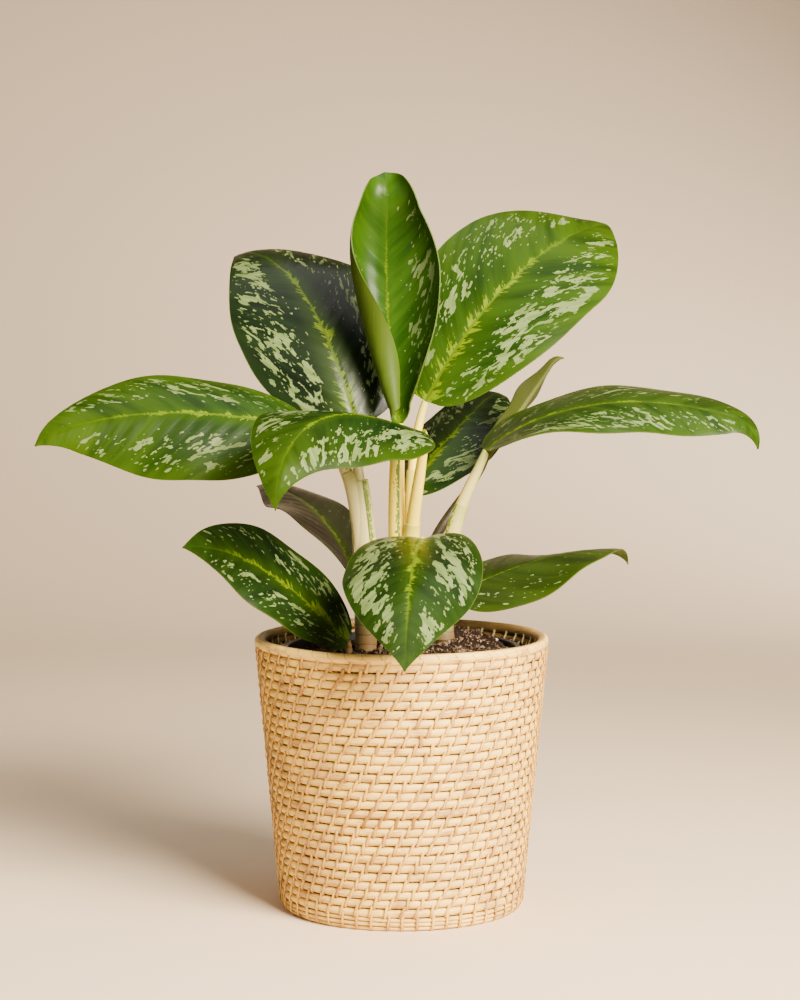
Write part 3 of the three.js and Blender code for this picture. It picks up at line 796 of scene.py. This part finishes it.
for name, tubes in SHOOTS.items():
    plain = new_material(name + "_skin", stalk_skin, SKINS[name])
    parts = []
    for tube in tubes:
        parts.append(roll(name + "_stalk", tube, channel=CHANNEL if tube[3] in LEAVES else 0))
        parts[-1].data.materials.append(shaded_stalk_skin if tube[3] == "leaf_young_narrow" else plain)
    for index, reach, turn, proud, flecked in SHEATHS[name]:
        parts.append(roll(name + "_sheath", tubes[index], 24, 40, turn, proud, reach))
        parts[-1].data.materials.append(new_material(name + "_sheath_skin", stalk_skin, {
            **SKINS[name], "Fleck": float(flecked)}) if flecked else plain)
    finish_piece(join(parts, name + "_stalks"), name)

# %% [markdown]
# ## Nursery pot
#
# The pot is thin black plastic, blown into a mould, with a rolled rim that stiffens it. It
# is a turned shape, so its outline is drawn once and spun round the middle. The drain holes
# in its foot are cut with a Boolean.

# %% Spin the pot
POT_OUTLINE = [    # (radius, height) in mm, up the outside and down the inside
    (0, 7.3), (20, 7.3), (45, 7.3), (61, 7.3), (63.4, 8), (64.4, 9.6), (73.4, 90), (81.8, 174.8),
    (82.1, 177), (84.4, 177), (85, 177.6), (85, 185.2), (84.6, 185.9), (84, 186), (81.4, 186),
    (80.9, 185.6), (80.2, 177), (71.9, 92), (62.7, 11.5), (61, 9.7), (45, 9.7), (20, 9.7), (0, 9.7)]
DRAIN_HOLES = 6
HOLE_RADIUS, HOLE_RING = 5 * MM, 46 * MM

mesh = bpy.data.meshes.new("pot_shell")
mesh.from_pydata([(r * MM, 0, z * MM) for r, z in POT_OUTLINE],
                 [(k, k + 1) for k in range(len(POT_OUTLINE) - 1)], [])
pot = bpy.data.objects.new("pot_shell", mesh)
bpy.context.collection.objects.link(pot)
edit(pot, (bpy.ops.mesh.spin,
           dict(steps=96, angle=2 * math.pi, center=(0, 0, 0), axis=(0, 0, 1))))
weld(pot)
for k in range(DRAIN_HOLES):
    angle = 2 * math.pi * k / DRAIN_HOLES
    bpy.ops.object.select_all(action="DESELECT")
    bpy.ops.mesh.primitive_cylinder_add(
        vertices=24, radius=HOLE_RADIUS, depth=8 * MM,
        location=(HOLE_RING * math.cos(angle), HOLE_RING * math.sin(angle), 8.5 * MM))
    cutter = bpy.context.object
    modify(pot, "BOOLEAN", object=cutter, operation="DIFFERENCE", solver="EXACT")
    bpy.data.objects.remove(cutter)
smooth(pot, 35)

pot_plastic, given = new_group(
    "moulded_plastic", ("Tint", (0.012, 0.012, 0.013, 1)), ("Dust", 0.3))
place = object_place()
dust = times(step(noise(place, 160.0, 4.0), 0.45, 0.75), given["Dust"])
colour = blend(dust, given["Tint"], (0.06, 0.048, 0.038, 1))
close_group(colour, times(dust, 0.4, 0.42), times(noise(place, 900.0, 2.0), 0.05))
pot.data.materials.append(new_material("pot_black", pot_plastic, {}))
finish_piece(pot, "nursery_pot")

# %% [markdown]
# ## Soil
#
# Potting soil is a crust of dark crumbs with pale fibres, bark chips and a few white bits
# of perlite. The crust is a disc that Displace roughens with a procedural cloud. The crumbs
# are a handful of dented stones, copied over it at random with a fixed seed.

# %% Soil crust
SOIL_LEVEL = 180        # mm, at the pot's wall
HEAP = (42, 30)         # where the soil is heaped highest


def soil_height(x, y):
    r = np.hypot(x, y)
    heap = np.hypot(x - HEAP[0], y - HEAP[1]) / 32
    edge = np.clip((85 - r) / 14, 0, 1)
    lump = 1.6 * np.sin(x * 0.31 + y * 0.17) * np.sin(y * 0.29 - x * 0.12 + 1)
    return SOIL_LEVEL + edge * (5 * np.exp(-(r / 45) ** 2) + 13 * np.exp(-heap ** 2) + lump)


def crust_place(u, v):
    """v runs from the middle below, out, up the pot wall and in to the middle on top."""
    radius = np.interp(v, [0, 0.06, 0.14, 1], [0, 61.5, 79.2, 0])
    angle = 2 * math.pi * u
    x, y = radius * np.cos(angle), radius * np.sin(angle)
    z = np.where(v < 0.1, 11.0, soil_height(x, y))
    return np.stack([x, y, z], 1) * MM


crust = sheet("soil_crust", 150, 100, crust_place)
weld(crust)
x, y, z = points_of(crust).T
top_group = crust.vertex_groups.new(name="top")
on_top = np.flatnonzero((z > 0.17) & (np.hypot(x, y) < 0.0785))
top_group.add([int(k) for k in on_top], 1.0, "REPLACE")
clods = bpy.data.textures.new("clods", "CLOUDS")
clods.noise_scale, clods.noise_depth = 0.009, 3
modify(crust, "DISPLACE", texture=clods, texture_coords="LOCAL", direction="Z",
       strength=5 * MM, mid_level=0.5, vertex_group="top")
smooth(crust, 180)
print("soil crust:", len(crust.data.polygons), "faces")

# %% Soil materials
soil_group, given = new_group(
    "soil_grain", ("Dark", (0.009, 0.0045, 0.0025, 1)), ("Brown", (0.21, 0.13, 0.075, 1)))
grain = noise(object_place(), 420.0, 4.0, 0.65)
factor = times(own_tone(), 0.7, minus(grain, 0.45))
colour = blend(step(factor, 0.12, 0.85), given["Dark"], given["Brown"])
close_group(colour, times(grain, 0.2, 0.75), times(grain, 0.6))


def soil_skin(name, dark, brown, mirrors=0.1):
    return new_material(name, soil_group, {"Dark": (*dark, 1), "Brown": (*brown, 1)},
                        Specular_IOR_Level=mirrors)


crust.data.materials.append(
    soil_skin("soil_crust_skin", (0.009, 0.0045, 0.0025), (0.21, 0.13, 0.075)))
crumb_skin = soil_skin("soil_crumb_skin", (0.03, 0.018, 0.011), (0.24, 0.155, 0.095))
bark_skin = soil_skin("bark_skin", (0.02, 0.009, 0.004), (0.07, 0.032, 0.012))
fibre_skin = soil_skin("fibre_skin", (0.09, 0.055, 0.032), (0.17, 0.11, 0.065), 0.5)
perlite_skin = soil_skin("perlite_skin", (0.36, 0.33, 0.3), (0.55, 0.52, 0.48), 0.5)

# %% Many copies of one model
def add_tone(piece, values):
    """A number for each point, the same all over one crumb or stitch."""
    piece.data.attributes.new("tone", "FLOAT", "POINT").data.foreach_set("value", values)


def copies(name, model, points, tones, material):
    """One piece made of copies of a model, each with its own points in mm and its own tone."""
    faces = [face.vertices[:] for face in model.data.polygons]
    per = len(model.data.vertices)
    mesh = bpy.data.meshes.new(name)
    mesh.from_pydata(np.concatenate(points) * MM, [], [
        [corner + k * per for corner in face] for k in range(len(points)) for face in faces])
    if "share" in model.data.uv_layers:
        uv = np.ravel([corner.uv[:] for corner in model.data.uv_layers["share"].data])
        mesh.uv_layers.new(name="share").data.foreach_set("uv", np.tile(uv, len(points)))
    piece = bpy.data.objects.new(name, mesh)
    bpy.context.collection.objects.link(piece)
    add_tone(piece, np.repeat(tones, per))
    mesh.materials.append(material)
    bpy.data.objects.remove(model)
    return piece


# %% Crumbs, fibres and perlite
SCATTER_RADIUS = 78     # mm
BITS = [    # name, model's detail and width, count, size, flatness, material, lift
    ("small_crumbs", 1, 1.0, 4300, (0.35, 0.95), (0.5, 0.9), crumb_skin, 0.2),
    ("large_crumbs", 2, 1.0, 750, (0.7, 1.25), (0.5, 0.9), crumb_skin, 0.2),
    ("bark_chips", 2, 1.0, 40, (0.7, 1.3), (0.3, 0.5), bark_skin, 0.35),
    ("fibres", 1, 0.08, 260, (1.0, 2.8), (0.06, 0.1), fibre_skin, 0.3),
    ("perlite", 2, 1.0, 12, (0.8, 1.5), (0.7, 0.9), perlite_skin, 0.7),
]
rng = np.random.default_rng(9349)


def stone(name, detail, width):
    """A dented ball about 2 across, to be copied and scaled."""
    bpy.ops.object.select_all(action="DESELECT")
    bpy.ops.mesh.primitive_ico_sphere_add(subdivisions=detail, radius=1)
    piece = bpy.context.object
    piece.name = name
    points = points_of(piece)
    points = points * (1 + 0.3 * rng.standard_normal((len(points), 1))).clip(0.5, 1.5)
    set_points(piece, points * [1, width, 1])
    return piece


def scatter(name, detail, width, count, size, flatness, material, lift):
    """Many turned and squashed copies of a stone on the soil, in one mesh."""
    model = stone(name + "_model", detail, width)
    shape = points_of(model)
    radius = SCATTER_RADIUS * np.sqrt(rng.random(count))
    angle = rng.random(count) * 2 * math.pi
    points = []
    for x, y in zip(radius * np.cos(angle), radius * np.sin(angle)):
        turn, _ = np.linalg.qr(rng.standard_normal((3, 3)))
        scale = rng.uniform(*size) * np.array([1, rng.uniform(0.5, 0.9), rng.uniform(*flatness)])
        points.append((shape * scale) @ turn.T + [x, y, soil_height(x, y) + lift * scale[0]])
    return copies(name, model, points, rng.random(count), material)


finish_piece(join([crust] + [scatter(*bit) for bit in BITS], "soil_bed"), "soil")

# %% [markdown]
# ## Basket
#
# The basket is coiled: rods of rattan are stacked in rows, and a flat strip binds each row
# to the one below it. Every stitch crosses its own rod and the lower half of the rod above,
# leaning a little, and each row's stitches stand a little further along than the last
# row's, so they make slanting chains. On a computer it is easiest to weave it flat: one
# stitch and one rod are modelled, two Array modifiers repeat them, and the flat mat is then
# wrapped round the basket's cone. Each stitch has only a few dozen faces.

# %% Measures of the weave
STITCHES = 51           # round the basket
ROWS = 28
FOOT_BAND = 9.5         # mm, as all lengths here
RIM_Z = 190.0
ROW_PITCH = (186.9 - FOOT_BAND) / ROWS
FIRST_ROW = FOOT_BAND + ROW_PITCH / 2
STITCH_PITCH = 11.7
ROW_SHIFT = 4.4         # how far each row's stitches stand further along than the last's
INSIDE = -6.0           # from the outer face of the wall to the inner
print("weave:", ROWS, "rows of", STITCHES, "stitches,", round(ROW_PITCH, 2), "mm a row")


def wall_radius(z):
    return 86 + 18 * z / 194


def wrap(flat):
    """Wraps flat mm (sideways, outwards, up) round the cone, starting in front."""
    angle = flat[:, 0] / (STITCHES * STITCH_PITCH) * 2 * math.pi - math.pi / 2
    tuck = 2.2 * np.clip(1 - flat[:, 2] / 6, 0, 1) ** 2
    radius = wall_radius(flat[:, 2]) + flat[:, 1] - tuck
    return np.stack([radius * np.cos(angle), radius * np.sin(angle), flat[:, 2]], 1) * MM


def repeat(piece, count, offset):
    modify(piece, "ARRAY", count=count, use_relative_offset=False,
           use_constant_offset=True, constant_offset_displace=offset)


# %% Rattan group
rattan, given = new_group(
    "rattan", ("Pale", (0.92, 0.62, 0.13, 1)), ("Tan", (0.42, 0.22, 0.06, 1)),
    ("Along", 90.0), ("Across", 2600.0), ("Seams", 0.0), ("Strip", 0.0))
place = object_place()
share = uv_map("share")
tone = own_tone()
where = put("CombineXYZ", times(share["X"], given["Along"]),
            times(share["Y"], given["Across"]), times(tone, 60.0))
fibre = noise(where, 1.0, 3.0, 0.6)
patch = noise(place, 75.0, 2.0)
factor = times(minus(fibre, 0.5), 3.0, minus(tone, 0.5))
factor = times(minus(patch, 0.5), 2.2, plus(factor, 0.4))
colour = blend(step(factor, 0.0, 1.1), given["Pale"], given["Tan"])
blush = times(step(noise(place, 24.0, 2.0), 0.5, 0.7), 0.4)
colour = blend(blush, colour, (0.5, 0.27, 0.09, 1))
# Painted shade: the half of each rod that turns towards the gaps between rows, and both long edges
# of each stitch, are darkened as the shadow in those gaps would darken them.
rod_gap_shade = step(maths("COSINE", times(share["Y"], 2 * math.pi)), 0.55, 0.0)
stitch_edge_shade = step(maths("COSINE", times(share["X"], 4 * math.pi)), 0.3, 0.9)
groove = put("Mix", given["Strip"], rod_gap_shade, stitch_edge_shade)
colour = blend(times(groove, 0.75), colour, (0.17, 0.08, 0.03, 1))
burnt = step(tone, 1.5, 2.0)
colour = blend(burnt, colour, (0.33, 0.14, 0.003, 1))
turns = times(share["Y"], 0.9, times(share["X"], float(STITCHES)))
seam = size_of(times(maths("FRACT", turns), 2.0, -1.0))
seam = times(step(seam, 0.93, 0.99), given["Seams"])
colour = blend(times(seam, 0.6), colour, (0.16, 0.08, 0.025, 1))
height = times(fibre, 0.3, times(seam, -0.35))
close_group(colour, times(fibre, 0.2, 0.42), height)

STRIP = {"Along": 14.0, "Across": 1.5, "Strip": 1.0}
rod_skin = new_material("rattan_rod", rattan, {"Along": 45.0, "Across": 34.0})
stitch_skin = new_material("rattan_stitch", rattan, {
    **STRIP, "Pale": (0.86, 0.5, 0.05, 1), "Tan": (0.42, 0.19, 0.03, 1)})
# Painted light: the inner stitches are painted much paler than the outer ones, standing in for the
# light that falls on the inside of the wall.
painted_light_inner_skin = new_material("rattan_inner_stitch_painted_light", rattan, {
    **STRIP, "Pale": (0.97, 0.8, 0.42, 1), "Tan": (0.85, 0.64, 0.32, 1)})
rim_skin = new_material("rattan_rim", rattan, {"Along": 45.0, "Across": 30.0, "Seams": 1.0})

# %% One stitch, then a mat of stitches
STRIP_HALF_WIDTH, STRIP_THICKNESS = 1.2, 0.85
RISE = [part * ROW_PITCH for part in (-0.58, -0.5, -0.3, 0, 0.3, 0.5, 0.66, 0.84, 0.97)]
PROUD = [-1.7, -0.3, 0.9, 1.3, 0.95, 0.35, 0.75, 0.85, -0.6]
FOOT_RISE = [-4.6, -4.3, -2.6, 0, 2.2, 4.2, 5.6, 6.6, 7.4]
FOOT_PROUD = [-1.6, 0.0, 0.9, 1.1, 1.0, 0.7, 0.5, 0.5, -0.9]
BURNT = {    # (row, stitch): tone of the darker stitches in front
    (10, 45): 1.9, (10, 46): 1.9, (10, 47): 2, (10, 48): 2,
    (11, 44): 1.7, (11, 45): 1.65, (11, 46): 1.7, (11, 48): 1.65}


def stitch_model(name, heights, depths, lean):
    """A flat strip with rounded edges, bent over the rods. Its own rod is at height 0."""
    knots = np.linspace(0, 1, len(heights))

    def place(u, v):
        angle = 2 * math.pi * u
        z, y = np.interp(v, knots, heights), np.interp(v, knots, depths)
        share = (z - heights[0]) / (heights[-1] - heights[0])
        narrow = 1 - 0.3 * np.clip((v - 0.8) / 0.2, 0, 1)
        x = STRIP_HALF_WIDTH * narrow * np.cos(angle) + lean * (share - 0.5)
        return np.stack([x, y + STRIP_THICKNESS * (0.5 * np.sin(angle) - 0.5), z], 1)

    piece = sheet(name, 6, 9, place)
    weld(piece, 1e-4, close=True)
    return piece


def weave(name, heights, depths, lean, rows=ROWS, first_z=FIRST_ROW, row_pitch=ROW_PITCH,
          inside=False, burnt=None):
    """Repeats a stitch round and up, nudges each copy a little, and wraps the mat."""
    mat = stitch_model(name, heights, depths, lean)
    per = len(mat.data.vertices)
    repeat(mat, STITCHES, (STITCH_PITCH, 0, 0))
    repeat(mat, rows, (ROW_SHIFT, 0, row_pitch))
    flat = points_of(mat) + [0, 0, first_z]
    count = len(flat) // per
    owner = np.repeat(np.arange(count), per)
    own_z = flat[:, 2] - first_z - (owner // STITCHES) * row_pitch
    flat[:, 0] += rng.normal(0, 0.55, count)[owner] + own_z * rng.normal(0, 0.1, count)[owner]
    flat[:, 1] += rng.normal(0, 0.08, count)[owner]
    tones = rng.normal(0.45, 0.24, count).clip(0, 1)
    for (row, column), tone in (burnt or {}).items():
        tones[row * STITCHES + column] = tone
    if inside:
        flat[:, 1] = INSIDE - flat[:, 1]
    set_points(mat, wrap(flat))
    add_tone(mat, tones[owner])
    if inside:
        edit(mat, (bpy.ops.mesh.flip_normals, {}))
    smooth(mat, 60)
    mat.data.materials.append(painted_light_inner_skin if inside else stitch_skin)
    return mat


outer = weave("outer_stitches", RISE, PROUD, 3.3, burnt=BURNT)
inner = weave("inner_stitches", RISE, PROUD, -3.3, inside=True)
foot = weave("foot_stitches", FOOT_RISE, FOOT_PROUD, 0.6, rows=1, first_z=4.8, row_pitch=1)
print("faces of the outer mat:", len(outer.data.polygons))

# %% Rods and rim
def rod_mat(name, rows, first_z, row_pitch, half_depth, half_height, middle, skin):
    """Rods laid flat in rows, a little uneven, and wrapped round the cone."""
    def place(u, v):
        angle = 2 * math.pi * v
        squash = np.sign(np.sin(angle)) * np.abs(np.sin(angle)) ** 0.8
        return np.stack([u * STITCHES * STITCH_PITCH, middle + half_depth * np.cos(angle),
                         half_height * squash], 1)

    piece = sheet(name, STITCHES * 3, 10, place)
    per = len(piece.data.vertices)
    repeat(piece, rows, (0, 0, row_pitch))
    flat = points_of(piece) + [0, 0, first_z]
    row = np.repeat(np.arange(rows), per)
    run = flat[:, 0]
    flat[:, 1] += 0.12 * np.sin(run * 0.21 + row * 2.4) + 0.1 * np.sin(run * 0.083 + row)
    flat[:, 2] += 0.2 * np.sin(run / (STITCHES * STITCH_PITCH) * 8 * math.pi + row * 1.7)
    set_points(piece, wrap(flat))
    add_tone(piece, rng.normal(0.35, 0.12, rows).clip(0, 1)[row])
    weld(piece)
    smooth(piece, 70)
    piece.data.materials.append(skin)
    return piece


rods = rod_mat("rods", ROWS, FIRST_ROW, ROW_PITCH, 3.0, ROW_PITCH * 0.47, -3.0, rod_skin)
foot_rods = rod_mat("foot_rods", 3, 1.75, 3.1, 2.2, 1.5, -2.4, rod_skin)
rim = rod_mat("rim", 1, RIM_Z, 1, 3.9, 3.7, -3.0, rim_skin)
print("faces of the rods:", len(rods.data.polygons))

# %% [markdown]
# The floor is the same weave wound flat: rings of rod, one inside the other, bound by
# stitches that run inwards, one side above the rods and one below.

# %% Floor of the basket
RING_PITCH = 6.1        # mm, as all lengths here
RING_Z = 3.9
RING_HALF_THICKNESS = 2.9


def ring(radius, tone_value):
    bpy.ops.object.select_all(action="DESELECT")
    bpy.ops.mesh.primitive_torus_add(
        major_segments=max(16, int(radius * 1.1)), minor_segments=8, major_radius=radius * MM,
        minor_radius=RING_HALF_THICKNESS * MM, location=(0, 0, RING_Z * MM))
    piece = bpy.context.object
    bpy.ops.object.transform_apply(location=True, rotation=True, scale=True)
    piece.data.uv_layers[0].name = "share"
    add_tone(piece, np.full(len(piece.data.vertices), tone_value))
    piece.data.materials.append(rod_skin)
    smooth(piece)
    return piece


radii = np.arange(80.5, 3, -RING_PITCH)
ring_tones = rng.normal(0.4, 0.12, len(radii)).clip(0, 1)
rings = [ring(radius, tone) for radius, tone in zip(radii, ring_tones)]
model = stitch_model("floor_stitch", RISE, PROUD, 2.0)
x, away, inwards = points_of(model).T
inwards = inwards * RING_PITCH / ROW_PITCH
below = RING_Z - (3.6 + np.minimum(away * 0.5, 0.25))
above = RING_Z + 2.8 + away * 0.5
points, tones = [], []
for number, radius in enumerate(radii):
    reach = np.maximum(radius - inwards, 0.5)
    count = max(4, round(2 * math.pi * radius / STITCH_PITCH))
    for k in range(count):
        turn = 2 * math.pi * k / count + number * 0.4
        for side, z in ((1, below), (-1, above)):
            points.append(np.stack([reach * math.cos(turn) - x * math.sin(turn) * side,
                                    reach * math.sin(turn) + x * math.cos(turn) * side, z], 1))
            tones.append(rng.normal(0.45, 0.17))
floor = copies("floor_stitches", model, points, np.clip(tones, 0, 1), stitch_skin)
edit(floor, (bpy.ops.mesh.normals_make_consistent, dict(inside=False)))
smooth(floor, 60)

rods = join([rods, foot_rods, rim, foot] + rings + [floor], "basket_rods")
for piece in (rods, outer, inner):
    finish_piece(piece, "basket")
